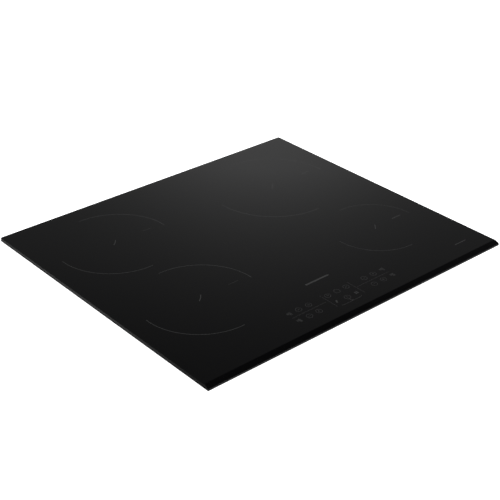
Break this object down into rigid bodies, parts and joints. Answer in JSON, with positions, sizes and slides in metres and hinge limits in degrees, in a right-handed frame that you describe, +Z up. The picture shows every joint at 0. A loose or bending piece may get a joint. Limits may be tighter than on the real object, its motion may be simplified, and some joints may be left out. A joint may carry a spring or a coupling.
{
  "type": "built-in induction hob",
  "caption": "Built-in induction hob: black glass plate with bevelled front, four coil zones, touch panel, sprung coil decks, blowers and swivel worktop clamps in a steel tray.",
  "frame": {"origin": "plan centre of the glass plate, at the underside of the base tray", "axes": "+X to the right across the long side, -Y towards the user and the touch panel, +Z up through the cooking surface"},
  "size_m": [0.58, 0.51, 0.054],
  "materials": {
    "black_glass": "polished black glass-ceramic, opaque",
    "foam_seal": "closed-cell foam tape",
    "silicone": "cured silicone",
    "coated_steel": "black coated steel",
    "galvanised_steel": "galvanised sheet, dull",
    "zinc_screw": "zinc plated",
    "spring_steel": "spring steel strip",
    "copper_litz": "enamelled stranded copper",
    "former_plastic": "heat-resistant moulding",
    "ferrite": "sintered ferrite",
    "mica": "pressed mica",
    "aluminium_plate": "mill finish sheet",
    "sensor_ceramic": "white ceramic",
    "board_green": "solder-masked glass-fibre board",
    "black_package": "epoxy package",
    "aluminium_fins": "extruded, plain",
    "grey_plastic": "moulded",
    "capacitor_case": "potted film capacitor case",
    "black_plastic": "moulded",
    "white_plastic": "moulded",
    "conductive_rubber": "conductive foam",
    "ribbon_grey": "flat ribbon"
  },
  "bodies": {
    "hob": {"glass_top": "black_glass", "rim_seal": "foam_seal", "rail_bond": "silicone", "front_rail": "coated_steel", "rear_rail": "coated_steel", "left_rail": "coated_steel", "right_rail": "coated_steel", "base_tray": "galvanised_steel", "tray_walls": "galvanised_steel", "clamp_pockets": "galvanised_steel", "terminal_cover": "galvanised_steel", "rail_screws": "zinc_screw", "clamp_pivots": "zinc_screw", "carrier_supports_left": "galvanised_steel", "carrier_springs_left": "spring_steel", "power_board_left": "board_green", "power_transistors_left": "black_package", "heat_sink_left": "aluminium_fins", "air_duct_left": "grey_plastic", "film_capacitors_left": "capacitor_case", "blower_housing_left": "black_plastic", "carrier_supports_right": "galvanised_steel", "carrier_springs_right": "spring_steel", "power_board_right": "board_green", "power_transistors_right": "black_package", "heat_sink_right": "aluminium_fins", "air_duct_right": "grey_plastic", "film_capacitors_right": "capacitor_case", "blower_housing_right": "black_plastic", "board_spacers": "white_plastic", "mains_board": "board_green", "toroid_chokes": "copper_litz", "terminal_block": "white_plastic", "control_carrier": "black_plastic", "control_board": "board_green", "key_contacts": "conductive_rubber", "led_displays": "black_package", "control_ribbon": "ribbon_grey"},
    "coil_deck_left": {"coil_carrier_left": "aluminium_plate", "ferrite_bars_left": "ferrite", "mica_sheets_left": "mica", "heat_sensors_left": "sensor_ceramic", "coil_winding_rear_left": "copper_litz", "coil_winding_front_left": "copper_litz", "coil_former_rear_left": "former_plastic", "coil_former_front_left": "former_plastic"},
    "blower_left": {"blower_rotor_left": "black_plastic"},
    "coil_deck_right": {"coil_carrier_right": "aluminium_plate", "ferrite_bars_right": "ferrite", "mica_sheets_right": "mica", "heat_sensors_right": "sensor_ceramic", "coil_winding_rear_right": "copper_litz", "coil_winding_front_right": "copper_litz", "coil_former_rear_right": "former_plastic", "coil_former_front_right": "former_plastic"},
    "blower_right": {"blower_rotor_right": "black_plastic"},
    "clamp_front_left": {"clamp_front_left": "spring_steel"},
    "clamp_front_right": {"clamp_front_right": "spring_steel"},
    "clamp_rear_left": {"clamp_rear_left": "spring_steel"},
    "clamp_rear_right": {"clamp_rear_right": "spring_steel"}
  },
  "joints": [
    {"name": "clamp_front_left_swing", "type": "hinge", "parent": "hob", "child": "clamp_front_left", "pos_m": [-0.2617, -0.199, 0.0095], "axis": [0, 0, 1], "range_deg": [0, 90]},
    {"name": "clamp_front_right_swing", "type": "hinge", "parent": "hob", "child": "clamp_front_right", "pos_m": [0.2617, -0.199, 0.0095], "axis": [0, 0, -1], "range_deg": [0, 90]},
    {"name": "clamp_rear_left_swing", "type": "hinge", "parent": "hob", "child": "clamp_rear_left", "pos_m": [-0.2617, 0.199, 0.0095], "axis": [0, 0, -1], "range_deg": [0, 90]},
    {"name": "clamp_rear_right_swing", "type": "hinge", "parent": "hob", "child": "clamp_rear_right", "pos_m": [0.2617, 0.199, 0.0095], "axis": [0, 0, 1], "range_deg": [0, 90]},
    {"name": "blower_left_spin", "type": "hinge", "parent": "hob", "child": "blower_left", "pos_m": [-0.164, 0.16, 0.015], "axis": [0, 0, 1], "continuous": true},
    {"name": "coil_deck_left_float", "type": "slide", "parent": "hob", "child": "coil_deck_left", "axis": [0, 0, 1], "range_m": [-0.003, 0], "stiffness_N_per_m": 6000, "springref_m": 0.01, "deforming": ["carrier_springs_left"]},
    {"name": "blower_right_spin", "type": "hinge", "parent": "hob", "child": "blower_right", "pos_m": [0.149, 0.16, 0.015], "axis": [0, 0, 1], "continuous": true},
    {"name": "coil_deck_right_float", "type": "slide", "parent": "hob", "child": "coil_deck_right", "axis": [0, 0, 1], "range_m": [-0.003, 0], "stiffness_N_per_m": 6000, "springref_m": 0.01, "deforming": ["carrier_springs_right"]}
  ]
}
